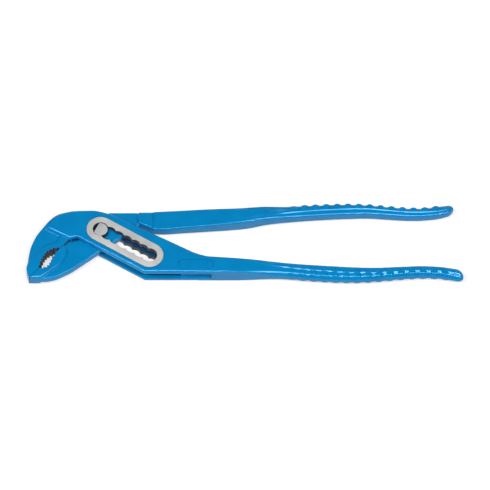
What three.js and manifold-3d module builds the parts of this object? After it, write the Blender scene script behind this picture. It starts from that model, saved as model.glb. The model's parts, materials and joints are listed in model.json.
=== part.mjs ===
// Water pump pliers with a box joint: an inner half passes through a window in a slotted half, and a bolt
// through both sets the jaw opening by the notch of the slot that it lies in.
// Millimetres. Sizes are measured from the bolt's centre at the first notch and from the middle plane of the
// tool: X runs along the handles, Y across the tool, and Z through its thickness.
import * as THREE from 'three';
import { mergeVertices } from 'three/addons/utils/BufferGeometryUtils.js';
import Module from 'manifold-3d';

const wasm = await Module();
wasm.setup();

// Pivot bolt: round in the middle, with a flat on each end so that it locks in the notches
const BOLT_RADIUS = 4.1;
const BOLT_FLAT = 2.64;
const BOLT_FLAT_FACES = 158;
const BOLT_PLAY = 0.3;
const BOLT_RECESS = 0.2;
const BOLT_CHAMFER = 0.5;
const BOLT_SIDES = 40;

// Slot: overlapping round notches along a line that falls to the right, in a raised boss
const NOTCH_COUNT = 7;
const NOTCH_PITCH = 5.5;
const SLOT_ANGLE = -31.8;
const BOSS_WALL = 3.6;
const BOSS_PROUD = 0.6;
const BOSS_EDGE = 0.2;

// Thickness, each from the middle plane to one face
const BAR_HALF = 5.2;
const WINDOW_HALF = 2.6;
const SHANK_PLAY = 0.3;
const VALLEY_HALF = 3.0;
const PAD_HALF = 3.8;
const SHOULDER_HALF = 4.2;

// Rounded edges of the forgings
const BAR_EDGE = 1.3;
const SHANK_EDGE = 0.8;
const JAW_EDGE = 1.0;
const PAD_EDGE = 0.9;
const GRIP_INNER_EDGE = 0.9;
const GRIP_OUTER_WIDE = 3.7;
const GRIP_OUTER_DEEP = 2.4;
const GRIP_EDGE_TURNS = [80, 112];
const END_ROUND = 3.2;

// Bar round the slot: its lower edge is parallel to the slot and its upper edge opens towards the handle
const BAR_BELOW = 10.7;
const BAR_ABOVE = 12.2;
const BAR_FLARE = 3.5;
const BAR_TAIL = 19;
const FLOOR_BELOW = 10.9;
const HOOD_TOP = 13.1;
const HOOD = [[-2.3, 12.9], [-9, HOOD_TOP], [-16, 12.9], [-22.9, 11.5], [-26.9, 9.5], [-30.3, 6.3]];
const HOOD_CORNER = [-33, 2.7];
const HEEL_NOTCH = [-13.2, -4.6];

// Root of the lower handle, from where the straight upper edge of the bar ends
const ROOT_EASE = [[8.2, -2.9], [3.7, -1.6]];
const ROOT_RUN = 11.7;
const ROOT_BURIED = 6;

// Window between the cheeks: its front edge leans, and its back edge and run-out lie beyond the last notch
const CUT_SPARE = 2;
const WINDOW_HEEL = [-18.6, -8];
const WINDOW_FRONT = -11.5;
const WINDOW_BACK = [22.5, 6.4];
const WINDOW_FOOT = 16.5;
const RUNOUT_START = 13;
const RUNOUT_LENGTH = 22.5;
const RUNOUT_DEPTH = 1.5;

// Mouth: a straight parting line from the heel to the tip of the jaws, with a toothed hollow in each jaw
const MOUTH_HEEL = [-17.8, -5.9];
const MOUTH_ANGLE = 47.9;
const MOUTH_LENGTH = 33.8;
const MOUTH_GAP = 0.3;
const TOOTH_HEIGHT = 0.9;
const UPPER_HOLLOW = { start: 7.8, chord: 18.2, depth: 4, deepest: 7.5, teeth: 9 };
const LOWER_HOLLOW = { start: 11.5, chord: 14.5, depth: 2.8, deepest: 9.3, teeth: 7 };

// Jaws, along the mouth from its heel (or, for the tips, back from its tip) and square to it, upwards
const JAW_ROOT = [[-5.7, 5.4], [-0.7, 17]];
const JAW_BACK = [[3.2, 17.1], [6.9, 16.8], [11.2, 16]];
const JAW_NOSE = [[16.6, 13.8], [12.9, 11.8], [7.4, 8.2]];
const JAW_TIP = [[4, 6], [1.6, 3.4], [0, 0.5]];
const UPPER_PAD_ROOT = [-0.5, 6.8];
const UPPER_PAD = [[3.1, 5.5], [5.4, 5], [12.1, 7.8]];
const UPPER_PAD_NOSE = [[13.7, 7.6], [7.3, 7.6]];
const LOWER_TIP = [[0, -0.3], [3.8, -4.6]];
const LOWER_NOSE = [[7, -7.8], [11.3, -10.6]];
const LOWER_BELLY = [[16.7, -12.8], [12.8, -14]];
const LOWER_PAD_HEEL = 4.5;
const LOWER_PAD_NOSE = [[11.2, -5.9]];
const LOWER_PAD = [[14.9, -7.1], [8.1, -5.4], [5.2, -2.6], [4.3, 0.3]];

// Shank: its straight back passes the bolt at a set distance, and its front is round the bolt
const SHANK_BACK = 9.7;
const SHANK_ANGLE = 37.6;
const SHANK_TOP = 13.1;
const SHANK_CREST = 5;
const SHANK_ROUND = 10;
const SHANK_ROUND_FACES = [105, 195];
const SHANK_HEEL = [-13, -7.2];

// Shoulder: the thick start of the upper handle, which lies along the upper edge of the bar
const SHOULDER_START = 20.6;
const SHOULDER_END = 29.4;
const SHOULDER_STEP = 1.2;
const SHOULDER_CLEAR = 2.7;
const SHOULDER_OPENS = 4;
const SHOULDER_TOP = 12.3;

// Handles, from a root at this X over this length. Each row has its share of the length, the edge towards the
// other handle, the outer edge, and the half thickness there.
const LOWER_ROOT = 58;
const LOWER_LENGTH = 149.4;
const LOWER_ROOT_EDGE = -17.3;
const LOWER_HANDLE = [
  [0.181, -19.3, -28.4, 5.2], [0.281, -20.8, -28.9, 4.7], [0.382, -22, -30.1, 4.2],
  [0.482, -23, -31.3, 4.1], [0.582, -23.9, -31.7, 4], [0.669, -24.1, -31, 3.9],
  [0.763, -23.4, -29.6, 3.8], [0.843, -22.9, -28.9, 3.7], [0.917, -23.5, -29.4, 3.6],
  [0.975, -24.9, -31.4, 3.5], [1, -26, -32.2, 3.5],
];
const UPPER_ROOT = 30;
const UPPER_LENGTH = 172;
const UPPER_HANDLE = [
  [0, 1.4, 13.3, 3.1], [0.035, 1.1, 13.6, 3.2], [0.093, 1.9, 14.1, 3.3], [0.174, 3.1, 14.8, 3.6],
  [0.291, 5.1, 15.3, 4.3], [0.331, 6.3, 15.7, 4.5], [0.372, 7.8, 16.2, 4.4], [0.448, 9.2, 16.7, 4.2],
  [0.552, 10.6, 18.2, 4.1], [0.639, 11.4, 18.6, 4.1], [0.715, 11.7, 18.2, 4],
  [0.779, 10.9, 17.1, 3.9], [0.849, 10.1, 16.1, 3.8], [0.895, 10.2, 16.2, 3.7],
  [0.942, 11, 17.3, 3.6], [0.971, 12.2, 18.3, 3.5], [1, 13.9, 19.2, 3.5],
];
const STATION_STEP = 7;

// Ribs forged across the outer side of each grip, counted back from its end
const RIB_PITCH = 6.25;
const RIB_WIDTH = 3.4;
const RIB_CREST = 1.4;
const LOWER_RIBS = { fromEnd: 10.6, count: 15, height: 0.6 };
const UPPER_RIBS = { fromEnd: 10.35, count: 14, height: 0.9 };

// Sizes that follow from the ones above
const radians = THREE.MathUtils.degToRad;
const notchRadius = BOLT_RADIUS + BOLT_PLAY;
const bossRadius = notchRadius + BOSS_WALL;
const bossHalf = BAR_HALF + BOSS_PROUD;
const shankHalf = WINDOW_HALF - SHANK_PLAY;
const cutHalf = bossHalf + CUT_SPARE;
const slotTravel = (NOTCH_COUNT - 1) * NOTCH_PITCH;
const lastNotch = inSlot(slotTravel, 0);
const handleFloor = lastNotch.y - FLOOR_BELOW;
const barEnd = inSlot(slotTravel + BAR_TAIL, barUpperEdge(slotTravel + BAR_TAIL));
const rootEnd = barEnd.x + ROOT_RUN;

// Slot as a frame: u along it from the first notch, v across it
function inSlot(u, v) {
  return new THREE.Vector2(u, v).rotateAround(new THREE.Vector2(), radians(SLOT_ANGLE));
}

function barUpperEdge(u) {
  return BAR_ABOVE + u * Math.tan(radians(BAR_FLARE));
}

// Mouth as a frame: a along the parting line from the heel, b square to it into the upper jaw
function inMouth(a, b) {
  return new THREE.Vector2(-a, b).rotateAround(new THREE.Vector2(), radians(MOUTH_ANGLE))
    .add(new THREE.Vector2(...MOUTH_HEEL));
}

function jawPoints(pairs) {
  return pairs.map(([a, b]) => inMouth(a, b));
}

function tipPoints(pairs) {
  return pairs.map(([back, b]) => inMouth(MOUTH_LENGTH - back, b));
}

function points(pairs) {
  return pairs.map(([x, y]) => new THREE.Vector2(x, y));
}

// Closed geometry as a solid that can be joined and cut
function solidOf(geometry) {
  const MERGE_WITHIN = 1e-4;
  geometry.deleteAttribute('normal');
  geometry.deleteAttribute('uv');
  const merged = mergeVertices(geometry, MERGE_WITHIN);
  return new wasm.Manifold(new wasm.Mesh({
    numProp: 3,
    vertProperties: new Float32Array(merged.attributes.position.array),
    triVerts: new Uint32Array(merged.index.array),
  }));
}

function pieceOf(solid, name, material) {
  const { vertProperties, triVerts } = solid.getMesh();
  const geometry = new THREE.BufferGeometry();
  geometry.setAttribute('position', new THREE.BufferAttribute(vertProperties, 3));
  geometry.setIndex(new THREE.BufferAttribute(triVerts, 1));
  geometry.computeVertexNormals();
  const mesh = new THREE.Mesh(geometry, material);
  mesh.name = name;
  return mesh;
}

// Flat forging with rounded edges, the same on both sides of the middle plane
function plate(shape, half, edge) {
  const geometry = new THREE.ExtrudeGeometry(shape, {
    depth: 2 * (half - edge),
    bevelThickness: edge,
    bevelSize: edge,
    bevelOffset: -edge,
    bevelSegments: 2,
    curveSegments: 3,
  });
  geometry.translate(0, 0, edge - half);
  return solidOf(geometry);
}

function prism(shape, half) {
  const geometry = new THREE.ExtrudeGeometry(shape, {
    depth: 2 * half,
    bevelEnabled: false,
    curveSegments: 8,
  });
  geometry.translate(0, 0, -half);
  return solidOf(geometry);
}

// One column of a handle's table as a smooth curve over X
function sizeAt(table, column, x) {
  const next = table.findIndex((row) => row[0] > x);
  const i = next < 0 ? table.length - 2 : Math.max(next - 1, 0);
  const slope = (k) => {
    const before = table[Math.max(k - 1, 0)];
    const after = table[Math.min(k + 1, table.length - 1)];
    return (after[column] - before[column]) / (after[0] - before[0]);
  };
  const run = table[i + 1][0] - table[i][0];
  const t = THREE.MathUtils.clamp((x - table[i][0]) / run, 0, 1);
  const eased = THREE.MathUtils.lerp(table[i][column], table[i + 1][column], t * t * (3 - 2 * t));
  return eased + run * t * (1 - t) * (slope(i) * (1 - t) - slope(i + 1) * t);
}

// Section of a handle at X. The edge towards the other handle keeps a small rounding, and the outer edge
// turns from the bar's small rounding to the grip's wide one.
function sectionAt(table, x) {
  const turned = THREE.MathUtils.smoothstep(x, ...GRIP_EDGE_TURNS);
  const fromBar = (size) => THREE.MathUtils.lerp(BAR_EDGE, size, turned);
  return {
    x,
    inner: sizeAt(table, 1, x),
    outer: sizeAt(table, 2, x),
    half: sizeAt(table, 3, x),
    innerEdge: [fromBar(GRIP_INNER_EDGE), fromBar(GRIP_INNER_EDGE)],
    outerEdge: [fromBar(GRIP_OUTER_WIDE), fromBar(GRIP_OUTER_DEEP)],
  };
}

// One ring of a handle: a rectangle with rounded corners across X, with a rib on its outer edge
function ring({ x, inner, outer, half, innerEdge, outerEdge, rib = 0 }) {
  const CORNER_STEPS = 2;
  const MOST_OF_WIDTH = 0.6;
  const MOST_OF_HALF = 0.9;
  const width = Math.abs(outer - inner);
  const outward = Math.sign(outer - inner);
  const loop = [];
  for (let quarter = 0; quarter < 4; quarter += 1) {
    const atOuter = quarter === 0 || quarter === 3;
    const [wide, deep] = atOuter ? outerEdge : innerEdge;
    const w = Math.min(wide, MOST_OF_WIDTH * width);
    const d = Math.min(deep, MOST_OF_HALF * half);
    const cornerY = atOuter ? width - w : w;
    const cornerZ = quarter < 2 ? half - d : d - half;
    const reach = atOuter ? w + rib : w;
    for (let step = 0; step <= CORNER_STEPS; step += 1) {
      const turn = (Math.PI / 2) * (quarter + step / CORNER_STEPS);
      loop.push([x, inner + outward * (cornerY + reach * Math.cos(turn)), cornerZ + d * Math.sin(turn)]);
    }
  }
  return outward > 0 ? loop : loop.reverse();
}

// Closed skin over a row of rings
function skin(rings) {
  const count = rings[0].length;
  const last = rings.length - 1;
  const at = (r, k) => r * count + (k % count);
  const faces = [];
  for (let r = 0; r < last; r += 1) {
    for (let k = 0; k < count; k += 1) {
      faces.push([at(r, k), at(r, k + 1), at(r + 1, k)]);
      faces.push([at(r, k + 1), at(r + 1, k + 1), at(r + 1, k)]);
    }
  }
  for (let k = 1; k + 1 < count; k += 1) {
    faces.push([at(0, 0), at(0, k + 1), at(0, k)]);
    faces.push([at(last, 0), at(last, k), at(last, k + 1)]);
  }
  const geometry = new THREE.BufferGeometry();
  geometry.setAttribute('position', new THREE.Float32BufferAttribute(rings.flat(2), 3));
  geometry.setIndex(faces.flat());
  return solidOf(geometry);
}

// X of the rings over a plain stretch, from its start up to but without its end
function plainStations(start, end) {
  const count = Math.max(Math.round((end - start) / STATION_STEP), 1);
  return Array.from({ length: count }, (_, i) => start + (i / count) * (end - start));
}

// X of the rings over the ribs of a grip, each with the rib's height there. The first rib is half raised.
function ribStations({ fromEnd, count, height }, end) {
  const first = end - fromEnd - (count - 1) * RIB_PITCH;
  const stations = [];
  for (let i = 0; i < count; i += 1) {
    const centre = first + i * RIB_PITCH;
    const crest = i === 0 ? height / 2 : height;
    stations.push([centre - RIB_WIDTH / 2, 0]);
    stations.push([centre - RIB_CREST / 2, crest]);
    stations.push([centre + RIB_CREST / 2, crest]);
    stations.push([centre + RIB_WIDTH / 2, 0]);
  }
  return stations.filter(([x]) => x < end - END_ROUND);
}

// Rings that close the end of a handle like a thumb
function roundedEnd(table) {
  const STEPS = [0, 0.5, 0.85, 1];
  const BLUNT = 0.9;
  const end = table.at(-1)[0];
  return STEPS.map((share) => {
    const section = sectionAt(table, end - END_ROUND * (1 - share));
    const keep = Math.sqrt(1 - (BLUNT * share) ** 2);
    const middle = (section.inner + section.outer) / 2;
    return {
      ...section,
      inner: middle + (section.inner - middle) * keep,
      outer: middle + (section.outer - middle) * keep,
      half: section.half * keep,
      innerEdge: section.innerEdge.map((size) => size * keep),
      outerEdge: section.outerEdge.map((size) => size * keep),
    };
  });
}

// Plain stretch, ribs and rounded end of a handle
function handleRings(table, start, ribs) {
  const ribbed = ribStations(ribs, table.at(-1)[0]);
  const plain = plainStations(start, ribbed[0][0]).map((x) => sectionAt(table, x));
  const grip = ribbed.map(([x, rib]) => ({ ...sectionAt(table, x), rib }));
  return [...plain, ...grip, ...roundedEnd(table)];
}

// What the mouth takes out of one jaw: all beyond the parting line, and the toothed hollow. Side is 1 for the
// upper jaw and -1 for the lower.
function mouthCut(side, { start, chord, depth, deepest, teeth }) {
  const far = -MOUTH_LENGTH;
  const parting = MOUTH_GAP / 2;
  const beyond = MOUTH_LENGTH + 2 * CUT_SPARE;
  const skew = Math.log(0.5) / Math.log(deepest / chord);
  const edge = [[-CUT_SPARE, far], [-CUT_SPARE, parting], [start, parting]];
  for (let i = 0; i < 2 * teeth; i += 1) {
    const share = (i + 0.5) / (2 * teeth);
    const tooth = (i % 2 ? -TOOTH_HEIGHT : TOOTH_HEIGHT) / 2;
    edge.push([start + chord * share, Math.max(depth * Math.sin(Math.PI * share ** skew) + tooth, parting)]);
  }
  edge.push([start + chord, parting]);
  edge.push([beyond, parting]);
  edge.push([beyond, far]);
  return prism(new THREE.Shape(edge.map(([a, b]) => inMouth(a, side * b))), cutHalf);
}

// Slot outline: round notches that meet in cusps
function slotShape() {
  const cusp = Math.acos(NOTCH_PITCH / 2 / notchRadius);
  const shape = new THREE.Shape();
  shape.absarc(0, 0, notchRadius, cusp, 2 * Math.PI - cusp);
  for (let i = 1; i < NOTCH_COUNT - 1; i += 1) {
    shape.absarc(i * NOTCH_PITCH, 0, notchRadius, Math.PI + cusp, 2 * Math.PI - cusp);
  }
  shape.absarc(slotTravel, 0, notchRadius, Math.PI + cusp, 3 * Math.PI - cusp);
  for (let i = NOTCH_COUNT - 2; i > 0; i -= 1) {
    shape.absarc(i * NOTCH_PITCH, 0, notchRadius, cusp, Math.PI - cusp);
  }
  return shape;
}

function bossShape() {
  const shape = new THREE.Shape();
  shape.absarc(0, 0, bossRadius, Math.PI / 2, 1.5 * Math.PI);
  shape.absarc(slotTravel, 0, bossRadius, -Math.PI / 2, Math.PI / 2);
  return shape;
}

// Rows of a handle with X in place of the share of its length
function handleTable(root, length, rows) {
  return rows.map(([share, ...sizes]) => [root + share * length, ...sizes]);
}

// The lower handle leaves the bar with the bar's floor and thickness
function lowerTable() {
  const root = [0, LOWER_ROOT_EDGE, handleFloor, BAR_HALF];
  return handleTable(LOWER_ROOT, LOWER_LENGTH, [root, ...LOWER_HANDLE]);
}

// Head, bar and root of the lower handle as one flat outline
function barShape() {
  const corner = (handleFloor + BAR_BELOW * Math.cos(radians(SLOT_ANGLE))) / Math.sin(radians(SLOT_ANGLE));
  const [toHandle, toBar] = points(ROOT_EASE).map((offset) => offset.add(barEnd));
  const shape = new THREE.Shape();
  shape.moveTo(rootEnd, handleFloor);
  shape.lineTo(rootEnd, sizeAt(lowerTable(), 1, rootEnd));
  shape.lineTo(toHandle.x, toHandle.y);
  shape.splineThru([toBar, barEnd]);
  shape.lineTo(...inSlot(0, barUpperEdge(0)).toArray());
  shape.splineThru(points(HOOD));
  shape.lineTo(...HOOD_CORNER);
  shape.lineTo(...inMouth(0, MOUTH_GAP).toArray());
  shape.lineTo(...HEEL_NOTCH);
  shape.lineTo(...inSlot(corner, -BAR_BELOW).toArray());
  return shape;
}

// Thin valley of the upper jaw with a raised pad beside the mouth
function upperJaw() {
  const beyondMouth = [inMouth(MOUTH_LENGTH + CUT_SPARE, -CUT_SPARE), inMouth(0, -CUT_SPARE)];
  const [rootLow, rootHigh] = jawPoints(JAW_ROOT);
  const valley = new THREE.Shape([rootLow, rootHigh]);
  valley.splineThru([...jawPoints(JAW_BACK), ...tipPoints(JAW_NOSE), ...tipPoints(JAW_TIP)]);
  beyondMouth.forEach((p) => valley.lineTo(p.x, p.y));
  const pad = new THREE.Shape([rootLow, inMouth(...UPPER_PAD_ROOT)]);
  pad.splineThru([...jawPoints(UPPER_PAD), ...tipPoints(UPPER_PAD_NOSE)]);
  pad.splineThru(tipPoints(JAW_TIP));
  beyondMouth.forEach((p) => pad.lineTo(p.x, p.y));
  return plate(valley, VALLEY_HALF, JAW_EDGE)
    .add(plate(pad, PAD_HALF, PAD_EDGE))
    .subtract(mouthCut(1, UPPER_HOLLOW));
}

// The first ring is smaller and lies inside the bar
function lowerHandle() {
  const table = lowerTable();
  const root = sectionAt(table, rootEnd - ROOT_BURIED);
  const buried = {
    ...root,
    inner: root.inner - BAR_EDGE,
    outer: root.outer + BAR_EDGE,
    half: root.half - BAR_EDGE,
  };
  return skin([buried, ...handleRings(table, rootEnd, LOWER_RIBS)].map(ring));
}

// Space between the cheeks that the shank passes through, open at the top and the bottom of the bar
function cheekWindow() {
  const top = HOOD_TOP + CUT_SPARE;
  const bottom = handleFloor - CUT_SPARE;
  const outline = [
    [WINDOW_HEEL[0], bottom],
    WINDOW_HEEL,
    [WINDOW_FRONT, top],
    [lastNotch.x + WINDOW_BACK[0], top],
    [lastNotch.x + WINDOW_BACK[0], lastNotch.y + WINDOW_BACK[1]],
    [lastNotch.x + WINDOW_FOOT, bottom],
  ];
  return prism(new THREE.Shape(points(outline)), WINDOW_HALF);
}

// Groove that the window's cutter leaves along the floor of the handle
function runOut() {
  const start = lastNotch.x + RUNOUT_START;
  const end = start + RUNOUT_LENGTH;
  const top = handleFloor + RUNOUT_DEPTH;
  const bottom = handleFloor - RUNOUT_DEPTH;
  const outline = [[start, top], [end, top], [end, bottom], [start, bottom]];
  return prism(new THREE.Shape(points(outline)), WINDOW_HALF);
}

function slottedHalf() {
  const slotTurn = [0, 0, SLOT_ANGLE];
  return plate(barShape(), BAR_HALF, BAR_EDGE)
    .add(lowerHandle())
    .add(upperJaw())
    .add(plate(bossShape(), bossHalf, BOSS_EDGE).rotate(slotTurn))
    .subtract(cheekWindow())
    .subtract(runOut())
    .subtract(prism(slotShape(), cutHalf).rotate(slotTurn));
}

// Thin shank with the lower jaw at one end. Its other end runs into the shoulder.
function shankShape() {
  const back = new THREE.Vector2(SHOULDER_END, -SHANK_BACK)
    .rotateAround(new THREE.Vector2(), radians(SHANK_ANGLE));
  const shape = new THREE.Shape([back, new THREE.Vector2(SHOULDER_END, SHANK_TOP - SHANK_EDGE)]);
  shape.lineTo(SHOULDER_START, SHANK_TOP);
  shape.lineTo(SHANK_CREST, SHANK_TOP);
  shape.absarc(0, 0, SHANK_ROUND, ...SHANK_ROUND_FACES.map(radians));
  shape.lineTo(...SHANK_HEEL);
  const pastMouth = jawPoints([[0, 0], [0, CUT_SPARE], [MOUTH_LENGTH + CUT_SPARE, CUT_SPARE]]);
  const [tip, nose] = tipPoints(LOWER_TIP);
  [...pastMouth, tip].forEach((p) => shape.lineTo(p.x, p.y));
  shape.splineThru([nose, ...tipPoints(LOWER_NOSE), ...jawPoints(LOWER_BELLY)]);
  return shape;
}

function lowerPad() {
  const [tip, nose] = tipPoints(LOWER_TIP);
  const pastMouth = jawPoints([[LOWER_PAD_HEEL, CUT_SPARE], [MOUTH_LENGTH + CUT_SPARE, CUT_SPARE]]);
  const shape = new THREE.Shape([...pastMouth, tip, nose]);
  shape.splineThru([...tipPoints(LOWER_PAD_NOSE), ...jawPoints(LOWER_PAD)]);
  return plate(shape, PAD_HALF, PAD_EDGE);
}

// Lower edge of the shoulder, which starts clear of the bar's upper edge and opens away from it
function shoulderFloor(x) {
  const barTurn = SLOT_ANGLE + BAR_FLARE;
  const bar = inSlot(0, BAR_ABOVE);
  const start = bar.y + (SHOULDER_START - bar.x) * Math.tan(radians(barTurn)) + SHOULDER_CLEAR;
  return start + (x - SHOULDER_START) * Math.tan(radians(barTurn + SHOULDER_OPENS));
}

function upperHandle() {
  const table = handleTable(UPPER_ROOT, UPPER_LENGTH, UPPER_HANDLE);
  const shoulderAt = (x, half) => ({
    ...sectionAt(table, x),
    inner: shoulderFloor(x),
    outer: SHOULDER_TOP,
    half,
  });
  return skin([
    shoulderAt(SHOULDER_START, shankHalf / 2),
    shoulderAt(SHOULDER_START + SHOULDER_STEP, SHOULDER_HALF),
    shoulderAt(SHOULDER_END, SHOULDER_HALF),
    ...handleRings(table, SHOULDER_END + SHOULDER_STEP, UPPER_RIBS),
  ].map(ring));
}

function innerHalf() {
  const bore = prism(new THREE.Shape().absarc(0, 0, notchRadius, 0, 2 * Math.PI), cutHalf);
  return plate(shankShape(), shankHalf, SHANK_EDGE)
    .add(lowerPad())
    .subtract(mouthCut(-1, LOWER_HOLLOW))
    .add(upperHandle())
    .subtract(bore);
}

// Bolt turned from bar, with a flat milled on each end
function pivotBolt() {
  const half = bossHalf - BOLT_RECESS;
  const profile = points([
    [0, -half],
    [BOLT_RADIUS - BOLT_CHAMFER, -half],
    [BOLT_RADIUS, BOLT_CHAMFER - half],
    [BOLT_RADIUS, half - BOLT_CHAMFER],
    [BOLT_RADIUS - BOLT_CHAMFER, half],
    [0, half],
  ]);
  const turned = new THREE.LatheGeometry(profile, BOLT_SIDES);
  turned.rotateX(Math.PI / 2);
  let bolt = solidOf(turned);
  for (const end of [1, -1]) {
    const chip = new THREE.BoxGeometry(BOLT_RADIUS, 3 * BOLT_RADIUS, half);
    chip.translate(BOLT_FLAT + BOLT_RADIUS / 2, 0, end * (WINDOW_HALF + half / 2));
    chip.rotateZ(radians(BOLT_FLAT_FACES));
    bolt = bolt.subtract(solidOf(chip));
  }
  return bolt;
}

const slottedLacquer = new THREE.MeshStandardMaterial({ color: 0x0a80bf, roughness: 0.35, metalness: 0 });
const innerLacquer = slottedLacquer.clone();
const bareSteel = new THREE.MeshStandardMaterial({ color: 0xc6c2bc, roughness: 0.35, metalness: 1 });

const pliers = new THREE.Group();
pliers.add(pieceOf(slottedHalf(), 'slotted_jaw_handle', slottedLacquer));
pliers.add(pieceOf(innerHalf(), 'inner_jaw_handle', innerLacquer));
pliers.add(pieceOf(pivotBolt(), 'pivot_bolt', bareSteel));

// The tool lies on the boss of its rear face, with the middle of its box over the origin
const box = new THREE.Box3().setFromObject(pliers);
const middle = box.getCenter(new THREE.Vector3());
pliers.position.set(-middle.x, -middle.y, -box.min.z);

export default pliers;
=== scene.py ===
# Water pump pliers with a box joint, 250 mm long: two blue lacquered forgings and a bare steel bolt.
# Lengths are millimetres from the bolt's centre at the first notch, on the middle plane of the tool, until a
# finished piece is set into the frame. X runs along the handles, Y across the tool, Z through its thickness.
import json
import math

import bmesh
import bpy
from mathutils import Matrix, Vector


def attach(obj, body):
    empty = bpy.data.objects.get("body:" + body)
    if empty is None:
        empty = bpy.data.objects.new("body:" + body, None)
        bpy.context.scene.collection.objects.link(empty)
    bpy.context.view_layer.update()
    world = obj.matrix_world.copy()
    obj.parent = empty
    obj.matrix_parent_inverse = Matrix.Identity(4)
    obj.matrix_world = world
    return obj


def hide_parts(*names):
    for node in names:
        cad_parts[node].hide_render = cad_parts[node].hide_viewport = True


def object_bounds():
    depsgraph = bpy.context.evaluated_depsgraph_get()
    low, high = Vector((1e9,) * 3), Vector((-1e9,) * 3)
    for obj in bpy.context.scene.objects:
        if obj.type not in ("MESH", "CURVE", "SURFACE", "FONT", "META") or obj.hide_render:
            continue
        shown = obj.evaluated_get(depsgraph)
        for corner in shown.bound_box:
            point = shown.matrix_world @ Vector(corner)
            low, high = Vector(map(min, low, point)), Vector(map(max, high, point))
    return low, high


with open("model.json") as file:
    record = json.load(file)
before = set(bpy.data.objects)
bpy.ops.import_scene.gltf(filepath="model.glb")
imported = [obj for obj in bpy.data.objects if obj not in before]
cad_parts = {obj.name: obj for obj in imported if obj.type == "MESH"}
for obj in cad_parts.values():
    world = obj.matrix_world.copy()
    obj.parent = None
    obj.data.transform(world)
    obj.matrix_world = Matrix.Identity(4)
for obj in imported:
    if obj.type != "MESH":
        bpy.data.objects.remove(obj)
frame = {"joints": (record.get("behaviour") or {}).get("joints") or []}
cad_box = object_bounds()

# Slotted half
# One drop forging in steel with the upper jaw, the head, the bar and the lower handle, dipped in blue
# lacquer. The window that the other half passes through, the notched slot and the teeth are cut into it, and
# the boss round the slot is ground bare.
MM_IN_M = 1000
NOTCH_COUNT = 7
NOTCH_PITCH = 5.5
NOTCH_RADIUS = 4.4
NOTCH_EDGE = 0.12
SLOT_TRAVEL = (NOTCH_COUNT - 1) * NOTCH_PITCH
SLOT_ANGLE = math.radians(-31.8)
SLOT_TURN = Matrix.Rotation(SLOT_ANGLE, 2)
BOSS_RADIUS = 8.0
BOSS_HALF = 5.79
BOSS_EDGE = 0.2
FLANK_STEEP = 0.3
END_SIDES = 24
NOTCH_SIDES = 8
CUT_HALF = 9.0

# Bar and head. The points of the hood, the heel and the ledge have X, Y and the size of the edge there.
BAR_HALF = 5.2
BAR_EDGE = 1.1
BAR_BELOW = 10.7
BAR_ABOVE = 12.2
BAR_TAIL = SLOT_TRAVEL + 19
BAR_FLARE = math.tan(math.radians(3.5))
HOOD = [(-2.3, 12.9, 1.1), (-9, 13.1, 1.2), (-16, 12.9, 1.5), (-22.9, 11.5, 2), (-26.9, 9.5, 2.4),
        (-30.3, 6.3, 2.8)]
HOOD_FRONT = [(-33, 2.7, 2.8), (-29.5, 0.74, 1.2), (-18.02, -5.7, 1.2)]
HEEL_NOTCH = (-13.2, -4.6, 0.8)
LEDGE = [(-32.2, 1.5, 0.6), (-24.3, -2.95, 0.6), (-22.5, -2, 0.6), (-30, 2.6, 0.6)]
LEDGE_HALF = 3.7
PANEL_CENTRE = (54.4, -23.2)
PANEL_LENGTH = 20.6
PANEL_WIDTH = 6.8
PANEL_DEPTH = 0.5
PANEL_SIDES = 12
FLOOR_BELOW = 10.9
ROOT_EASE = [(8.2, -2.9), (3.7, -1.6)]
ROOT_RUN = 11.7
ROOT_BURIED = 8.0

# Window between the cheeks, and the run-out of its cutter along the bar's foot
WINDOW_HALF = 2.6
WINDOW_HEEL = (-18.6, -8)
WINDOW_FRONT = -11.5
WINDOW_BACK = (22.5, 6.4)
WINDOW_FOOT = 16.5
WINDOW_TOP = 15.1
RUNOUT_START = 13
RUNOUT_LENGTH = 22.5
RUNOUT_DEPTH = 1.5
# Depth of the painted shadow cut into each cheek's inner side behind the boss
SLOT_SHADOW_DEPTH = 0.05

# Mouth and upper jaw. Points of the jaw lie along the mouth from its heel and square to it.
MOUTH_HEEL = Vector((-17.8, -5.9))
MOUTH_TURN = Matrix.Rotation(math.radians(47.9), 2)
MOUTH_LENGTH = 33.8
MOUTH_PARTING = 0.12
MOUTH_SPARE = 2.0
TOOTH_HEIGHT = 1.2
UPPER_HOLLOW = {"start": 7.8, "chord": 18.2, "depth": 4, "deepest": 7.5, "teeth": 9}

VALLEY_HALF = 3.0
PAD_HALF = 3.8
JAW_EDGE = 1.0
PAD_EDGE = 0.9
JAW_ROOT = [(-5.7, 5.4), (-0.7, 17)]
JAW_BACK = [(3.2, 17.1), (6.9, 16.8), (11.2, 16), (17.2, 13.8), (20.9, 11.8), (26.4, 8.2)]
JAW_TIP = [(29.8, 6), (32.2, 3.4), (33.8, 0.5)]
UPPER_PAD_ROOT = (-0.5, 6.8)
UPPER_PAD = [(3.1, 5.5), (5.4, 5), (12.1, 7.8), (20.1, 7.6), (26.5, 7.6)]

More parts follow.
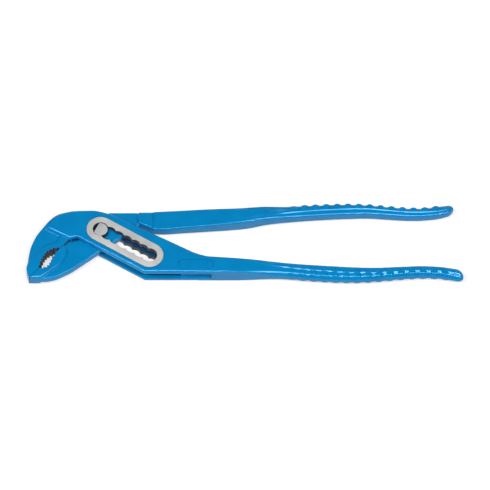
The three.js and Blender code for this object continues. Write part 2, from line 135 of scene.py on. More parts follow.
# Lower handle: X, the edge towards the other handle, the outer edge, the half thickness
LOWER_ROOT = (58, -17.3)
LOWER_HANDLE = [
    (85, -19.3, -28.4, 5.2), (100, -20.8, -28.9, 4.7), (115, -22, -30.2, 4.2), (130, -23, -31.45, 4.1),
    (145, -23.9, -31.85, 4), (158, -24.1, -31.15, 3.9), (172, -23.4, -29.75, 3.8), (184, -22.9, -29.05, 3.7),
    (195, -23.5, -29.55, 3.6), (203.6, -24.9, -31.4, 3.5), (207.4, -26, -32.2, 3.5),
]
STATION_STEP = 0.9
GRIP_TURNS = (66, 112)
GRIP_FALL = 2.4
GRIP_CREASE = 0.25
GRIP_WAIST = 0.6
BEAD_WIDE = 0.85
BEAD_DEEP = 0.56
EDGE_WIDE = 0.9
EDGE_DEEP = 0.56
LOWER_STRIP = [(64, 1.5), (85, 1.7), (103, 2.8), (131, 3.6), (170, 3.2), (207.4, 2.6)]
LOWER_SLOPE = 0.02
END_ROUND = 3.6
RIB_PITCH = 6.25
RIB_CREST = 0.7
RIB_FOOT = 2.4
RIB_BACK = 0.8
FIRST_RIB = 0.5
RIB_RISES = (0.1, 0.4)
BACK_RISES = (0.1, 0.5)
BACK_FALLS = (0.55, 1)
LOWER_RIBS = {"first": 109.3, "count": 15, "height": 0.42}

# Forging: edges are drawn in and dropped by these shares of their size, and the skin is softened
EDGE_PROFILE = [(0, 1), (0.1, 0.68), (0.28, 0.41), (1, 0)]
SKIN_VOXEL = 0.27
SOFT_FACTOR = 0.5
SOFT_PASSES = 2
SKIN_KEPT = 0.12


def along_slot(u, v):
    return SLOT_TURN @ Vector((u, v))


def along_mouth(a, b):
    return MOUTH_HEEL + MOUTH_TURN @ Vector((-a, b))


def flat(pairs):
    return [Vector(pair) for pair in pairs]


def curve(points, steps=6):
    """Smooth line through the points."""
    line = []
    last = len(points) - 1
    for i in range(last):
        before, start, end, after = (points[min(max(k, 0), last)] for k in (i - 1, i, i + 1, i + 2))
        for step in range(steps):
            t = step / steps
            bend = 2 * before - 5 * start + 4 * end - after
            twist = 3 * start - before - 3 * end + after
            line.append(0.5 * (2 * start + (end - before) * t + bend * t**2 + twist * t**3))
    return line + [points[last]]


def shell(rings):
    """Closed skin over a row of rings that have as many points each."""
    skin = bmesh.new()
    rows = [[skin.verts.new(point) for point in ring] for ring in rings]
    for low, high in zip(rows, rows[1:]):
        for i in range(len(low)):
            j = (i + 1) % len(low)
            skin.faces.new((low[i], low[j], high[j], high[i]))
    skin.faces.new(rows[0])
    skin.faces.new(rows[-1])
    bmesh.ops.recalc_face_normals(skin, faces=skin.faces)
    return skin


def drawn_in(outline, insets):
    """An outline moved inwards, each point by its own inset, with mitred corners."""
    moved = []
    for i, inset in enumerate(insets):
        arriving = (outline[i] - outline[i - 1]).normalized().orthogonal()
        leaving = (outline[(i + 1) % len(outline)] - outline[i]).normalized().orthogonal()
        moved.append(outline[i] + inset * (arriving + leaving) / (1 + arriving.dot(leaving)))
    return moved


def against_the_clock(outline):
    turn = sum(outline[i - 1].xy.cross(outline[i].xy) for i in range(len(outline)))
    return outline if turn > 0 else outline[::-1]


def profiled(outline, profile):
    """Solid of an outline drawn in by the profile's inset at each of its heights."""
    line = against_the_clock(outline)
    return shell([[(x, y, z) for x, y in drawn_in(line, [inset] * len(line))] for inset, z in profile])


def plate(outline, half):
    """Flat forging. Each point of its outline has an edge size, for a soft corner and a chamfer."""
    line = against_the_clock(outline)
    edges = [point.z for point in line]
    rings = []
    for inset, drop in EDGE_PROFILE:
        ring = drawn_in([point.xy for point in line], [inset * edge for edge in edges])
        rings.append([(x, y, half - drop * edge) for (x, y), edge in zip(ring, edges)])
    mirrored = [[(x, y, -z) for x, y, z in ring] for ring in reversed(rings)]
    return shell(mirrored + rings)


def edged(points, edge):
    return [Vector((*point, edge)) for point in points]


def prism(outline, half):
    return profiled(outline, [(0, -half), (0, half)])


def arc(centre, radius, start, end, steps):
    """Points on an arc along the slot, from one angle to another in radians."""
    angles = [start + (end - start) * step / steps for step in range(steps + 1)]
    return [along_slot(centre + radius * math.cos(a), radius * math.sin(a)) for a in angles]


def table_at(table, column, x):
    """One column of a table as a smooth curve over its first column."""
    last = len(table) - 1
    i = max(min(sum(row[0] <= x for row in table) - 1, last - 1), 0)

    def slope(k):
        low, high = table[max(k - 1, 0)], table[min(k + 1, last)]
        return (high[column] - low[column]) / (high[0] - low[0])

    start, end = table[i], table[i + 1]
    run = end[0] - start[0]
    t = min(max((x - start[0]) / run, 0), 1)
    eased = start[column] + (end[column] - start[column]) * t * t * (3 - 2 * t)
    return eased + run * t * (1 - t) * (slope(i) * (1 - t) - slope(i + 1) * t)


def rise(low, high, x):
    """From 0 below low to 1 above high, smoothly."""
    t = min(max((x - low) / (high - low), 0), 1)
    return t * t * (3 - 2 * t)


def eased_loop(corners):
    """Closed line over corners that are each rounded over their own reach."""
    STEPS = 4
    loop = []
    for i, (corner, reach) in enumerate(corners):
        back = corners[i - 1][0] - corner
        ahead = corners[(i + 1) % len(corners)][0] - corner
        start = corner + back.normalized() * min(reach, back.length / 2)
        end = corner + ahead.normalized() * min(reach, ahead.length / 2)
        for step in range(STEPS + 1):
            t = step / STEPS
            loop.append(start * (1 - t) ** 2 + corner * 2 * t * (1 - t) + end * t * t)
    return loop


def rib_at(ribs, x):
    """Height of the rounded ribs across a grip. The first is raised less than the rest."""
    i = round((x - ribs["first"]) / RIB_PITCH)
    if not 0 <= i < ribs["count"]:
        return 0.0
    height = ribs["height"] * (FIRST_RIB if i == 0 else 1)
    return height * (1 - rise(RIB_CREST, RIB_FOOT, abs(x - ribs["first"] - i * RIB_PITCH)))


def handle_ring(table, strip_table, slope, ribs, x, shrink=1.0):
    """Section of a handle: a strip along its inner edge, then a fall to the ribbed outer edge."""
    inner, outer, half = (table_at(table, column, x) for column in (1, 2, 3))
    middle, width = (inner + outer) / 2, abs(outer - inner)
    grip = rise(*GRIP_TURNS, x)
    strip = table_at(strip_table, 1, x)
    fall = GRIP_FALL * grip
    bead = half - BEAD_DEEP * grip
    rim = bead - slope * (strip - EDGE_WIDE - BEAD_WIDE) * grip
    brow = Vector((width - EDGE_WIDE, half))
    waist = Vector((strip + GRIP_WAIST * (width - strip), bead - BEAD_DEEP))
    upper = [
        (Vector((0, rim - EDGE_DEEP)), EDGE_DEEP / 2),
        (Vector((EDGE_WIDE, rim)), EDGE_DEEP / 2),
        (Vector((strip - BEAD_WIDE, bead)), GRIP_CREASE),
        (Vector((strip, half)), GRIP_CREASE),
        (Vector((strip + BEAD_WIDE, bead)), GRIP_CREASE),
        (brow.lerp(waist, grip), EDGE_DEEP),
        (Vector((width, half - max(fall, EDGE_DEEP))), EDGE_DEEP / 2 + grip),
    ]
    lower = [(Vector((corner.x, -corner.y)), reach) for corner, reach in reversed(upper)]
    outward = 1 if outer > inner else -1
    ring = []
    for point in eased_loop(upper + lower):
        lean = Vector((point.x - strip, point.y))
        share = lean.x / (width - strip)
        back = RIB_BACK * rise(*BACK_RISES, share) * (1 - rise(*BACK_FALLS, share))
        raised = rib_at(ribs, x) * (rise(*RIB_RISES, share) + back)
        across, z = point + lean.normalized() * raised
        ring.append((x, middle + outward * (across - width / 2) * shrink, z * shrink))
    return ring


def handle_rings(table, strip_table, slope, ribs, start):
    """Sections along a handle, closed at its end like a thumb."""
    BLUNT = 0.97
    END_STEPS = 9
    end = table[-1][0]
    count = round((end - END_ROUND - start) / STATION_STEP)
    stations = [(start + (end - END_ROUND - start) * i / count, 1.0) for i in range(count)]
    for step in range(END_STEPS + 1):
        share = math.sin(math.pi / 2 * step / END_STEPS)
        stations.append((end - END_ROUND * (1 - share), math.sqrt(1 - (BLUNT * share) ** 2)))
    return [handle_ring(table, strip_table, slope, ribs, x, shrink) for x, shrink in stations]


def settle(piece):
    """Works the modifiers of a piece into its mesh."""
    graph = bpy.context.evaluated_depsgraph_get()
    mesh = bpy.data.meshes.new_from_object(piece.evaluated_get(graph))
    piece.modifiers.clear()
    piece.data = mesh


def solid(name, skin, finish):
    mesh = bpy.data.meshes.new(name)
    skin.to_mesh(mesh)
    skin.free()
    mesh.materials.append(finish)
    piece = bpy.data.objects.new(name, mesh)
    bpy.context.scene.collection.objects.link(piece)
    return piece


def forged(name, skins, finish):
    """One skin over overlapping solids, with the soft corners that a die leaves where they meet."""
    lump = bmesh.new()
    for skin in skins:
        part = bpy.data.meshes.new(name)
        skin.to_mesh(part)
        skin.free()
        lump.from_mesh(part)
    blank = solid(name, lump, finish)
    one_skin = blank.modifiers.new("one_skin", "REMESH")
    one_skin.mode = "VOXEL"
    one_skin.voxel_size = SKIN_VOXEL
    soft = blank.modifiers.new("soft_corners", "SMOOTH")
    soft.factor = SOFT_FACTOR
    soft.iterations = SOFT_PASSES
    thin = blank.modifiers.new("thin_out", "DECIMATE")
    thin.ratio = SKIN_KEPT
    settle(blank)
    return blank


def machine(piece, operation, tool):
    """Cuts a tool's shape out of a piece, or joins it on, with the tool's own finish on the new faces."""
    work = piece.modifiers.new("machine", "BOOLEAN")
    work.operation = operation
    work.object = tool
    work.solver = "MANIFOLD"
    work.material_mode = "TRANSFER"
    settle(piece)
    bpy.data.objects.remove(tool)


def finish_flank(piece, ground, flank):
    """Gives the upright faces of one finish on a piece another finish."""
    finishes = list(piece.data.materials)
    for face in piece.data.polygons:
        if finishes[face.material_index] == ground and abs(face.normal.z) < FLANK_STEEP:
            face.material_index = finishes.index(flank)


def set_in_frame(piece, node, body):
    """Moves a finished piece from millimetres at the bolt to its place, in the stead of its CAD node."""
    CREASE = math.radians(48)
    hinge = next(joint for joint in frame["joints"] if joint["name"] == "jaw_hinge")
    piece.data.transform(Matrix.Translation(hinge["pos_m"]) @ Matrix.Scale(1 / MM_IN_M, 4))
    piece.data.shade_smooth()
    piece.data.set_sharp_from_angle(angle=CREASE)
    flats = piece.modifiers.new("true_flats", "WEIGHTED_NORMAL")
    flats.keep_sharp = True
    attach(piece, body)
    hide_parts(node)


# The lacquer's colour has shade painted in, darker in the hollows, and it dries with a faint orange peel over
# the forging's uneven skin
LACQUER_BLUE = (0.0, 0.22, 0.52, 1)
LACQUER_THIN = (0.0, 0.25, 0.57, 1)
PAINTED_HOLLOW_SHADE = 0.75
SHADE_REACH = 3
SHADE_SAMPLES = 6
NOISE_SPAN = (0.3, 0.7)
# Painted shade: the window's lacquer is a darker copy of the outer blue, for the shade inside the window
WINDOW_SHADED_BLUE = (0.0, 0.19, 0.45, 1)
WINDOW_SHADED_THIN = (0.0, 0.22, 0.52, 1)
# Painted shadow: a darker blue for the cheeks' inner sides behind the boss and for the boss's upright side
SLOT_SHADOW_BLUE = (0.01, 0.05, 0.125, 1)
SLOT_SHADOW_THIN = (0.02, 0.085, 0.2, 1)
SLOT_DARK = (0.025, 0.025, 0.027, 1)
SLOT_LIGHT = (0.09, 0.09, 0.095, 1)
TOOTH_DARK = (0.02, 0.018, 0.022, 1)
TOOTH_LIGHT = (0.13, 0.12, 0.14, 1)
GROUND_DARK = (0.52, 0.53, 0.52, 1)
GROUND_LIGHT = (0.66, 0.66, 0.65, 1)
STEEL_STOPS = (0.35, 0.65)


def new_finish(name):
    finish = bpy.data.materials.new(name)
    finish.use_nodes = True
    return finish, finish.node_tree.nodes, finish.node_tree.links


def spots(nodes, links, size, detail=2.0, stretch=(1, 1, 1), turn=0.0):
    """Noise over the piece itself, with spots of about this size in millimetres."""
    place = nodes.new("ShaderNodeTexCoord")
    mapping = nodes.new("ShaderNodeMapping")
    mapping.inputs["Rotation"].default_value = (0, 0, turn)
    mapping.inputs["Scale"].default_value = stretch
    noise = nodes.new("ShaderNodeTexNoise")
    noise.inputs["Scale"].default_value = MM_IN_M / size
    noise.inputs["Detail"].default_value = detail
    links.new(place.outputs["Object"], mapping.inputs["Vector"])
    links.new(mapping.outputs["Vector"], noise.inputs["Vector"])
    return noise.outputs["Fac"]


def ramp(nodes, links, amount, dark, light, stops=(0.35, 0.7)):
    """Blend of two colours between two stops of an amount from 0 to 1."""
    blend = nodes.new("ShaderNodeValToRGB")
    links.new(amount, blend.inputs["Fac"])
    for element, stop, colour in zip(blend.color_ramp.elements, stops, (dark, light)):
        element.position = stop
        element.color = colour
    return blend.outputs["Color"]


def spread(nodes, links, amount, low, high):
    """Takes noise, which keeps near its middle, to a range of values."""
    span = nodes.new("ShaderNodeMapRange")
    span.inputs["From Min"].default_value, span.inputs["From Max"].default_value = NOISE_SPAN
    span.inputs["To Min"].default_value = low
    span.inputs["To Max"].default_value = high
    links.new(amount, span.inputs["Value"])
    return span.outputs["Result"]


def relief(nodes, links, height, depth, under=None):
    """Surface unevenness of this depth in millimetres, over another one if there is one."""
    bump = nodes.new("ShaderNodeBump")
    bump.inputs["Distance"].default_value = depth / MM_IN_M
    links.new(height, bump.inputs["Height"])
    if under is not None:
        links.new(under, bump.inputs["Normal"])
    return bump.outputs["Normal"]


def blue_lacquer(name, body=LACQUER_BLUE, thin=LACQUER_THIN):
    """Semi-gloss lacquer, with shade painted darker into its hollows."""
    finish, nodes, links = new_finish(name)
    paint = nodes["Principled BSDF"]
    paint.inputs["Metallic"].default_value = 0.1
    paint.inputs["Specular IOR Level"].default_value = 0.25
    # Painted shade: the colour darkens where the surface is hemmed in within a few millimetres, as if shade
    # fell there
    hollow = nodes.new("ShaderNodeAmbientOcclusion")
    hollow.samples = SHADE_SAMPLES
    hollow.inputs["Distance"].default_value = SHADE_REACH / MM_IN_M
    open_blue = ramp(nodes, links, spots(nodes, links, size=9, detail=4), body, thin)
    painted_shade = nodes.new("ShaderNodeMix")
    painted_shade.data_type = "RGBA"
    painted_shade.inputs["A"].default_value = tuple(PAINTED_HOLLOW_SHADE * part for part in body[:3]) + (1,)
    links.new(hollow.outputs["AO"], painted_shade.inputs["Factor"])
    links.new(open_blue, painted_shade.inputs["B"])
    links.new(painted_shade.outputs["Result"], paint.inputs["Base Color"])
    gloss = spread(nodes, links, spots(nodes, links, size=4), low=0.12, high=0.22)
    links.new(gloss, paint.inputs["Roughness"])
    forging_skin = relief(nodes, links, spots(nodes, links, size=5, detail=3), depth=0.12)
    peel = relief(nodes, links, spots(nodes, links, size=1.5), depth=0.045, under=forging_skin)
    links.new(peel, paint.inputs["Normal"])
    return finish


def ground_steel(name):
    """Bare steel, ground along the slot, with fine scratches and a faint grey cast."""
    finish, nodes, links = new_finish(name)
    steel = nodes["Principled BSDF"]
    steel.inputs["Metallic"].default_value = 0.3
    cloud = spots(nodes, links, size=14, detail=3)
    links.new(ramp(nodes, links, cloud, GROUND_DARK, GROUND_LIGHT, STEEL_STOPS), steel.inputs["Base Color"])
    scratches = spots(nodes, links, size=1.2, detail=5, stretch=(0.06, 1, 1), turn=-SLOT_ANGLE)
    links.new(spread(nodes, links, scratches, low=0.52, high=0.66), steel.inputs["Roughness"])
    links.new(relief(nodes, links, scratches, depth=0.02), steel.inputs["Normal"])
    return finish


def cut_steel(name, dark, light):
    """Hardened steel left dark by the heat, as the cutter left it."""
    finish, nodes, links = new_finish(name)
    steel = nodes["Principled BSDF"]
    steel.inputs["Metallic"].default_value = 0.35
    heat = spots(nodes, links, size=2.5, detail=4)
    links.new(ramp(nodes, links, heat, dark, light), steel.inputs["Base Color"])
    chatter = spots(nodes, links, size=0.7, detail=3, stretch=(1, 1, 0.08))
    links.new(spread(nodes, links, chatter, low=0.38, high=0.56), steel.inputs["Roughness"])
    links.new(relief(nodes, links, chatter, depth=0.03), steel.inputs["Normal"])
    return finish


def slot_outline():
    """Round notches that meet in cusps."""
    cusp = math.acos(NOTCH_PITCH / 2 / NOTCH_RADIUS)
    last = NOTCH_COUNT - 1
    line = arc(0, NOTCH_RADIUS, cusp, 2 * math.pi - cusp, END_SIDES)
    for i in range(1, last):
        line += arc(i * NOTCH_PITCH, NOTCH_RADIUS, math.pi + cusp, 2 * math.pi - cusp, NOTCH_SIDES)[1:]
    line += arc(SLOT_TRAVEL, NOTCH_RADIUS, math.pi + cusp, 3 * math.pi - cusp, END_SIDES)[1:]
    for i in range(last - 1, 0, -1):
        line += arc(i * NOTCH_PITCH, NOTCH_RADIUS, cusp, math.pi - cusp, NOTCH_SIDES)[1:]
    return line[:-1]


def boss_outline():
    return (arc(0, BOSS_RADIUS, math.pi / 2, 1.5 * math.pi, END_SIDES)
            + arc(SLOT_TRAVEL, BOSS_RADIUS, -math.pi / 2, math.pi / 2, END_SIDES))


def mouth_cutter(side, hollow):
    """All beyond the parting line and the toothed hollow. Side is 1 for the upper jaw, -1 for the lower."""
    skew = math.log(0.5) / math.log(hollow["deepest"] / hollow["chord"])
    beyond = MOUTH_LENGTH + 2 * MOUTH_SPARE
    edge = [(-MOUTH_PARTING, -MOUTH_LENGTH), (-MOUTH_PARTING, MOUTH_PARTING)]
    edge.append((hollow["start"], MOUTH_PARTING))
    for i in range(2 * hollow["teeth"]):
        share = (i + 0.5) / (2 * hollow["teeth"])
        tooth = (-TOOTH_HEIGHT if i % 2 else TOOTH_HEIGHT) / 2
        depth = hollow["depth"] * math.sin(math.pi * share**skew) + tooth
        edge.append((hollow["start"] + hollow["chord"] * share, max(depth, MOUTH_PARTING)))
    edge.append((hollow["start"] + hollow["chord"], MOUTH_PARTING))
    edge += [(beyond, MOUTH_PARTING), (beyond, -MOUTH_LENGTH)]
    return prism([along_mouth(a, side * b) for a, b in edge], CUT_HALF)


last_notch = along_slot(SLOT_TRAVEL, 0)
handle_floor = last_notch.y - FLOOR_BELOW
bar_end = along_slot(BAR_TAIL, BAR_ABOVE + BAR_TAIL * BAR_FLARE)
root_end = bar_end.x + ROOT_RUN
lower_table = [(*LOWER_ROOT, handle_floor, BAR_HALF)] + LOWER_HANDLE

floor_corner = (handle_floor + BAR_BELOW * math.cos(SLOT_ANGLE)) / math.sin(SLOT_ANGLE)
root_ease = [bar_end + Vector(offset) for offset in ROOT_EASE] + [bar_end]
bar_outline = (
    edged([(root_end, handle_floor), (root_end, table_at(lower_table, 1, root_end))], BAR_EDGE)
    + edged(curve(root_ease), BAR_EDGE)
    + curve(edged([along_slot(0, BAR_ABOVE)], BAR_EDGE) + flat(HOOD))
    + flat([*HOOD_FRONT, HEEL_NOTCH])
    + edged([along_slot(floor_corner, -BAR_BELOW)], BAR_EDGE)
)
past_mouth = [along_mouth(MOUTH_LENGTH + MOUTH_SPARE, -MOUTH_SPARE), along_mouth(0, -MOUTH_SPARE)]
jaw_root = [along_mouth(*point) for point in JAW_ROOT]
jaw_tip = [along_mouth(*point) for point in JAW_TIP]
valley_outline = (
    jaw_root[:1] + curve(jaw_root[1:] + [along_mouth(*point) for point in JAW_BACK] + jaw_tip) + past_mouth
)
pad_line = [along_mouth(*UPPER_PAD_ROOT)] + [along_mouth(*point) for point in UPPER_PAD]
pad_outline = jaw_root[:1] + curve(pad_line)[:-1] + curve(pad_line[-1:] + jaw_tip) + past_mouth

slotted_lacquer = blue_lacquer("slotted_half_blue_lacquer")
boss_steel = ground_steel("boss_ground_steel")
slot_steel = cut_steel("slot_cut_steel", SLOT_DARK, SLOT_LIGHT)
tooth_steel = cut_steel("tooth_dark_steel", TOOTH_DARK, TOOTH_LIGHT)
window_shaded_lacquer = blue_lacquer("window_painted_shade_lacquer", WINDOW_SHADED_BLUE, WINDOW_SHADED_THIN)
slot_shadow_lacquer = blue_lacquer("slot_painted_shadow_lacquer", SLOT_SHADOW_BLUE, SLOT_SHADOW_THIN)

slotted_half = forged("slotted_half", [
    plate(bar_outline, BAR_HALF),
    plate(flat(LEDGE), LEDGE_HALF),
    plate(edged(valley_outline, JAW_EDGE), VALLEY_HALF),
    plate(edged(pad_outline, PAD_EDGE), PAD_HALF),
    shell(handle_rings(lower_table, LOWER_STRIP, LOWER_SLOPE, LOWER_RIBS, root_end - ROOT_BURIED)),
], slotted_lacquer)
machine(slotted_half, "DIFFERENCE", solid("mouth_cutter", mouth_cutter(1, UPPER_HOLLOW), tooth_steel))
machine(slotted_half, "UNION", solid("boss", plate(edged(boss_outline(), BOSS_EDGE), BOSS_HALF), boss_steel))
window_outline = flat([
    (WINDOW_HEEL[0], handle_floor - MOUTH_SPARE),
    WINDOW_HEEL,
    (WINDOW_FRONT, WINDOW_TOP),
    (last_notch.x + WINDOW_BACK[0], WINDOW_TOP),
    (last_notch.x + WINDOW_BACK[0], last_notch.y + WINDOW_BACK[1]),
    (last_notch.x + WINDOW_FOOT, handle_floor - MOUTH_SPARE),
])
window = prism(window_outline, WINDOW_HALF)
# The window's new faces take the darker lacquer, painted shade for its inside
machine(slotted_half, "DIFFERENCE", solid("window_cutter", window, window_shaded_lacquer))
# Painted shadow: the inner side of each cheek behind the boss gets a darker lacquer, for the shade inside the
# slot
slot_shadow_band = prism(boss_outline(), WINDOW_HALF + SLOT_SHADOW_DEPTH)
machine(slotted_half, "DIFFERENCE", solid("slot_shadow_band", slot_shadow_band, slot_shadow_lacquer))
runout_start = last_notch.x + RUNOUT_START
runout_outline = flat([
    (runout_start, handle_floor + RUNOUT_DEPTH),
    (runout_start + RUNOUT_LENGTH, handle_floor + RUNOUT_DEPTH),
    (runout_start + RUNOUT_LENGTH, handle_floor - RUNOUT_DEPTH),
    (runout_start, handle_floor - RUNOUT_DEPTH),
])
runout = prism(runout_outline, WINDOW_HALF)
machine(slotted_half, "DIFFERENCE", solid("runout_cutter", runout, slotted_lacquer))
panel_ends = [(side * (PANEL_LENGTH - PANEL_WIDTH) / 2, side) for side in (1, -1)]
panel_outline = [
    Vector(PANEL_CENTRE) + Vector((middle, 0))
    + PANEL_WIDTH / 2 * Vector((side * math.cos(turn), side * math.sin(turn)))
    for middle, side in panel_ends
    for turn in (math.radians(-90 + 180 * step / PANEL_SIDES) for step in range(PANEL_SIDES + 1))
]
panel_wall = PANEL_DEPTH / 2
panel_profile = [(panel_wall, BAR_HALF - PANEL_DEPTH), (-panel_wall, BAR_HALF + PANEL_DEPTH)]
panel = profiled(panel_outline, panel_profile)
machine(slotted_half, "DIFFERENCE", solid("panel_cutter", panel, slotted_lacquer))
for face in (1, -1):
    flare = [(NOTCH_EDGE, face * (BOSS_HALF - 2 * NOTCH_EDGE)), (-NOTCH_EDGE, face * BOSS_HALF)]
    machine(slotted_half, "DIFFERENCE", solid("slot_flare", profiled(slot_outline(), flare), boss_steel))
machine(slotted_half, "DIFFERENCE", solid("slot_cutter", prism(slot_outline(), CUT_HALF), slot_steel))
# The boss's upright side gets the same darker lacquer, a painted shadow line under the ground face
finish_flank(slotted_half, boss_steel, slot_shadow_lacquer)
set_in_frame(slotted_half, "slotted_jaw_handle", "slotted_half")


# Inner half
# One drop forging in steel with the lower jaw, the thin shank that passes through the window, the shoulder
# and the upper handle, in the same blue lacquer. It is bored for the bolt, and its jaw is toothed like the
# other one.
SHANK_HALF = 2.3
SHANK_EDGE = 0.8
SHANK_BACK = 9.7
SHANK_ANGLE = math.radians(37.6)
SHANK_TOP = 13.1
SHANK_CREST = 5
SHANK_ROUND = 10
SHANK_ROUND_SPAN = (105, 195)
SHANK_ROUND_SIDES = 12
SHANK_HEEL = (-13.2, -5.5)
SHOULDER_START = 20.6
SHOULDER_END = 29.4
SHOULDER_STEP = 1.2
SHOULDER_ROUND = 2.4
SHOULDER_RINGS = 8
SHOULDER_SWELL = 5
SHOULDER_HALF = 4.2
SHOULDER_CLEAR = 2.7
SHOULDER_OPENS = 4
SHOULDER_TOP = 12.3
LOWER_HOLLOW = {"start": 11.5, "chord": 14.5, "depth": 2.8, "deepest": 9.3, "teeth": 7}
LOWER_TIP = [(33.8, -0.3), (30, -4.6)]
LOWER_BELLY = [(26.8, -7.8), (22.5, -10.6), (16.7, -12.8), (12.8, -14)]
LOWER_PAD_HEEL = 4.5
TIP_EDGE = 1.2
LOWER_PAD = [(22.6, -5.9), (14.9, -7.1), (8.1, -5.4), (5.2, -2.6), (4.3, 0.3)]
UPPER_HANDLE = [
    (30, 1.4, 13.3, 3.1), (36, 1.1, 13.6, 3.2), (46, 1.9, 14.1, 3.3), (60, 3.1, 14.8, 3.6),
    (80, 5.1, 15.3, 4.3), (87, 6.3, 16.1, 4.5), (94, 7.8, 17, 4.4), (107, 9.2, 17.5, 4.2),
    (125, 10.6, 18.4, 4.1), (140, 11.4, 18.8, 4.1), (153, 11.7, 18.4, 4), (164, 10.9, 17.3, 3.9),
    (176, 10.1, 16.3, 3.8), (184, 10.2, 16.4, 3.7), (192, 11, 17.5, 3.6), (197, 12.2, 18.4, 3.5),
    (202, 13.9, 19.2, 3.5),
]
UPPER_STRIP = [(30, 1.5), (81, 1.5), (97, 2.8), (131, 3.7), (170, 3.2), (202, 2.6)]
UPPER_SLOPE = 0.2
UPPER_RIBS = {"first": 110.4, "count": 14, "height": 0.68}
BORE_SIDES = 48

shank_back = Matrix.Rotation(SHANK_ANGLE, 2) @ Vector((SHOULDER_END, -SHANK_BACK))
round_start, round_end = SHANK_ROUND_SPAN
front_turns = [math.radians(round_start + (round_end - round_start) * step / SHANK_ROUND_SIDES)
               for step in range(SHANK_ROUND_SIDES + 1)]
lower_tip = [along_mouth(*point) for point in LOWER_TIP]
shank_outline = (
    flat([shank_back, (SHOULDER_END, SHANK_TOP - SHANK_EDGE), (SHOULDER_START, SHANK_TOP)])
    + [Vector((SHANK_CREST, SHANK_TOP))]
    + [SHANK_ROUND * Vector((math.cos(turn), math.sin(turn))) for turn in front_turns]
    + [Vector(SHANK_HEEL), along_mouth(0, 0), along_mouth(0, MOUTH_SPARE)]
    + [along_mouth(MOUTH_LENGTH + MOUTH_SPARE, MOUTH_SPARE), lower_tip[0]]
    + curve(lower_tip[1:] + [along_mouth(*point) for point in LOWER_BELLY])
)
lower_pad_mouth = [
    along_mouth(LOWER_PAD_HEEL, MOUTH_SPARE),
    along_mouth(MOUTH_LENGTH + MOUTH_SPARE, MOUTH_SPARE),
    lower_tip[0],
]
lower_pad_back = [along_mouth(*point) for point in LOWER_PAD]
lower_pad_line = curve(edged(lower_tip[1:], TIP_EDGE) + edged(lower_pad_back, PAD_EDGE))
lower_pad_outline = edged(lower_pad_mouth, PAD_EDGE) + lower_pad_line


def shoulder_ring(x, half):
    """Section of the thick shoulder, whose lower edge lies along the bar's upper edge and opens from it."""
    bar_turn = SLOT_ANGLE + math.atan(BAR_FLARE)
    bar = along_slot(0, BAR_ABOVE)
    start = bar.y + (SHOULDER_START - bar.x) * math.tan(bar_turn) + SHOULDER_CLEAR
    low = start + (x - SHOULDER_START) * math.tan(bar_turn + math.radians(SHOULDER_OPENS))
    short = max(1 - (x - SHOULDER_START) / SHOULDER_ROUND, 0)
    low += SHOULDER_ROUND * (1 - math.sqrt(1 - short**2))
    table = [(place, low, SHOULDER_TOP, half) for place in (x - 1, x + 1)]
    return handle_ring(table, UPPER_STRIP, UPPER_SLOPE, UPPER_RIBS, x)


shoulder_rings = []
for step in range(SHOULDER_RINGS + 1):
    swollen = SHANK_HALF + (SHOULDER_HALF - SHANK_HALF) * rise(0, SHOULDER_SWELL, step)
    shoulder_rings.append(shoulder_ring(SHOULDER_START + SHOULDER_ROUND * step / SHOULDER_RINGS, swollen))
shoulder_rings.append(shoulder_ring(SHOULDER_END, SHOULDER_HALF))
upper_start = SHOULDER_END + SHOULDER_STEP
upper_rings = handle_rings(UPPER_HANDLE, UPPER_STRIP, UPPER_SLOPE, UPPER_RIBS, upper_start)

inner_lacquer = blue_lacquer("inner_half_blue_lacquer")
inner_half = forged("inner_half", [
    plate(edged(shank_outline, SHANK_EDGE), SHANK_HALF),
    plate(lower_pad_outline, PAD_HALF),
    shell(shoulder_rings + upper_rings),
], inner_lacquer)
machine(inner_half, "DIFFERENCE", solid("mouth_cutter", mouth_cutter(-1, LOWER_HOLLOW), tooth_steel))
bore_outline = arc(0, NOTCH_RADIUS, 0, 2 * math.pi, BORE_SIDES)[:-1]
machine(inner_half, "DIFFERENCE", solid("bore_cutter", prism(bore_outline, CUT_HALF), slot_steel))
set_in_frame(inner_half, "inner_jaw_handle", "inner_half")


# Pivot bolt
# A bolt turned from steel bar and pressed into the inner half. Each end has a flat milled on it, so that it
# locks in a notch and slides along the slot only with the handles wide open.
BOLT_RADIUS = 4.1
BOLT_HALF = 5.6
BOLT_CHAMFER = 0.3
BOLT_FLAT = 2.4
BOLT_FLAT_TURN = math.radians(153)
BOLT_SIDES = 64
CHIP_REACH = 2 * BOLT_RADIUS
TURNED_DARK = (0.5, 0.52, 0.52, 1)
TURNED_LIGHT = (0.61, 0.63, 0.63, 1)


def turned_steel(name):
    """Bright steel with a fine even grain on the faced ends."""
    finish, nodes, links = new_finish(name)
    steel = nodes["Principled BSDF"]
    steel.inputs["Metallic"].default_value = 0.4
    cloud = spots(nodes, links, size=6, detail=4)
    links.new(ramp(nodes, links, cloud, TURNED_DARK, TURNED_LIGHT, STEEL_STOPS), steel.inputs["Base Color"])
    grain = spots(nodes, links, size=0.6, detail=3)
    links.new(spread(nodes, links, grain, low=0.5, high=0.62), steel.inputs["Roughness"])
    links.new(relief(nodes, links, grain, depth=0.015), steel.inputs["Normal"])
    return finish


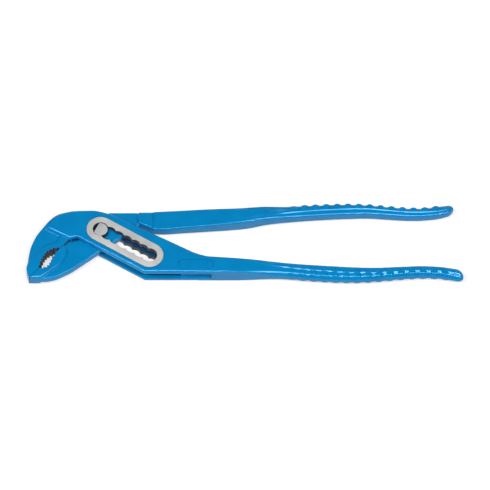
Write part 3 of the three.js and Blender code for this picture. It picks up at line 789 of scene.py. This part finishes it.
bolt_steel = turned_steel("bolt_turned_steel")
bolt_outline = arc(0, BOLT_RADIUS, 0, 2 * math.pi, BOLT_SIDES)[:-1]
bolt = solid("bolt", plate(edged(bolt_outline, BOLT_CHAMFER), BOLT_HALF), bolt_steel)
flat_turn = Matrix.Rotation(BOLT_FLAT_TURN, 2)
chip_corners = [
    (BOLT_FLAT, -CHIP_REACH),
    (CHIP_REACH, -CHIP_REACH),
    (CHIP_REACH, CHIP_REACH),
    (BOLT_FLAT, CHIP_REACH),
]
chip_outline = [flat_turn @ Vector(corner) for corner in chip_corners]
for end in (1, -1):
    chip = profiled(chip_outline, [(0, end * WINDOW_HALF), (0, end * CUT_HALF)])
    machine(bolt, "DIFFERENCE", solid("chip", chip, slot_steel))
# The bolt's round side is left dark like the slot, and only its faced ends are bright
finish_flank(bolt, bolt_steel, slot_steel)
set_in_frame(bolt, "pivot_bolt", "bolt")


# Studio
# The tool lies on its rear boss on a white table. A long narrow soft box hangs above it on the camera's side,
# with a weak strip light behind, and the camera looks down steeply through a long lens. Lengths are metres
# here, apart from the lens and its sensor, which are millimetres.
TABLE_GAP = 0.0001
TABLE_REACH = 6.0
TABLE_GREY = (0.5, 0.5, 0.5, 1)
TABLE_GLOW = 0.58
HORIZON_GREY = (0.8, 0.8, 0.8, 1)
SKY_GREY = (0.12, 0.12, 0.12, 1)
SKY_FROM = 0.08
AIM = Vector((0.00006, -0.00094, 0.0058))
ELEVATION = math.radians(58.6)
VIEW_WIDTH = 0.28033
LENS = 1000
SENSOR = 36
CLIP_END = 100


def white_table():
    """Matt table that looks white to the camera and in reflections, and keeps the tool's shadow."""
    finish, nodes, links = new_finish("white_table")
    surface = nodes["Principled BSDF"]
    surface.inputs["Base Color"].default_value = TABLE_GREY
    surface.inputs["Roughness"].default_value = 0.9
    surface.inputs["Emission Color"].default_value = (1, 1, 1, 1)
    rays = nodes.new("ShaderNodeLightPath")
    seen = nodes.new("ShaderNodeMath")
    seen.operation = "MAXIMUM"
    also = nodes.new("ShaderNodeMath")
    also.operation = "MAXIMUM"
    glow = nodes.new("ShaderNodeMath")
    glow.operation = "MULTIPLY"
    glow.inputs[1].default_value = TABLE_GLOW
    links.new(rays.outputs["Is Camera Ray"], seen.inputs[0])
    links.new(rays.outputs["Is Glossy Ray"], seen.inputs[1])
    links.new(seen.outputs["Value"], also.inputs[0])
    links.new(rays.outputs["Is Transmission Ray"], also.inputs[1])
    links.new(also.outputs["Value"], glow.inputs[0])
    links.new(glow.outputs["Value"], surface.inputs["Emission Strength"])
    return finish


table_mesh = bpy.data.meshes.new("table")
corners = [(-TABLE_REACH, -TABLE_REACH), (TABLE_REACH, -TABLE_REACH), (TABLE_REACH, TABLE_REACH),
           (-TABLE_REACH, TABLE_REACH)]
table_mesh.from_pydata([(x, y, cad_box[0].z - TABLE_GAP) for x, y in corners], [], [(0, 1, 2, 3)])
table_mesh.materials.append(white_table())
table = bpy.data.objects.new("table", table_mesh)
bpy.context.scene.collection.objects.link(table)


def lamp(name, place, size, watts):
    """Flat soft light at a place, aimed at the tool."""
    light = bpy.data.lights.new(name, "AREA")
    light.shape = "RECTANGLE"
    light.size, light.size_y = size
    light.energy = watts
    holder = bpy.data.objects.new(name, light)
    holder.location = place
    holder.rotation_euler = (AIM - Vector(place)).to_track_quat("-Z", "Y").to_euler()
    bpy.context.scene.collection.objects.link(holder)


lamp("soft_box", place=(-0.05, -0.45, 0.97), size=(2.4, 0.12), watts=19)
lamp("back_strip", place=(0.1, 0.95, 0.7), size=(1.2, 0.1), watts=1.0)

world = bpy.data.worlds.new("studio")
world.use_nodes = True
bpy.context.scene.world = world
air = world.node_tree.nodes
way = air.new("ShaderNodeTexCoord")
height = air.new("ShaderNodeSeparateXYZ")
shade = air.new("ShaderNodeValToRGB")
world.node_tree.links.new(way.outputs["Generated"], height.inputs["Vector"])
world.node_tree.links.new(height.outputs["Z"], shade.inputs["Fac"])
world.node_tree.links.new(shade.outputs["Color"], air["Background"].inputs["Color"])
shade.color_ramp.elements[0].color = HORIZON_GREY
shade.color_ramp.elements[1].position = SKY_FROM
shade.color_ramp.elements[1].color = SKY_GREY

camera_data = bpy.data.cameras.new("camera")
camera_data.lens = LENS
camera_data.sensor_width = SENSOR
camera_data.clip_end = CLIP_END
camera = bpy.data.objects.new("camera", camera_data)
towards_camera = Vector((0, -math.cos(ELEVATION), math.sin(ELEVATION)))
camera.location = AIM + towards_camera * VIEW_WIDTH * LENS / SENSOR
camera.rotation_euler = (math.pi / 2 - ELEVATION, 0, 0)
bpy.context.scene.collection.objects.link(camera)
bpy.context.scene.camera = camera
bpy.context.scene.view_settings.view_transform = "Standard"
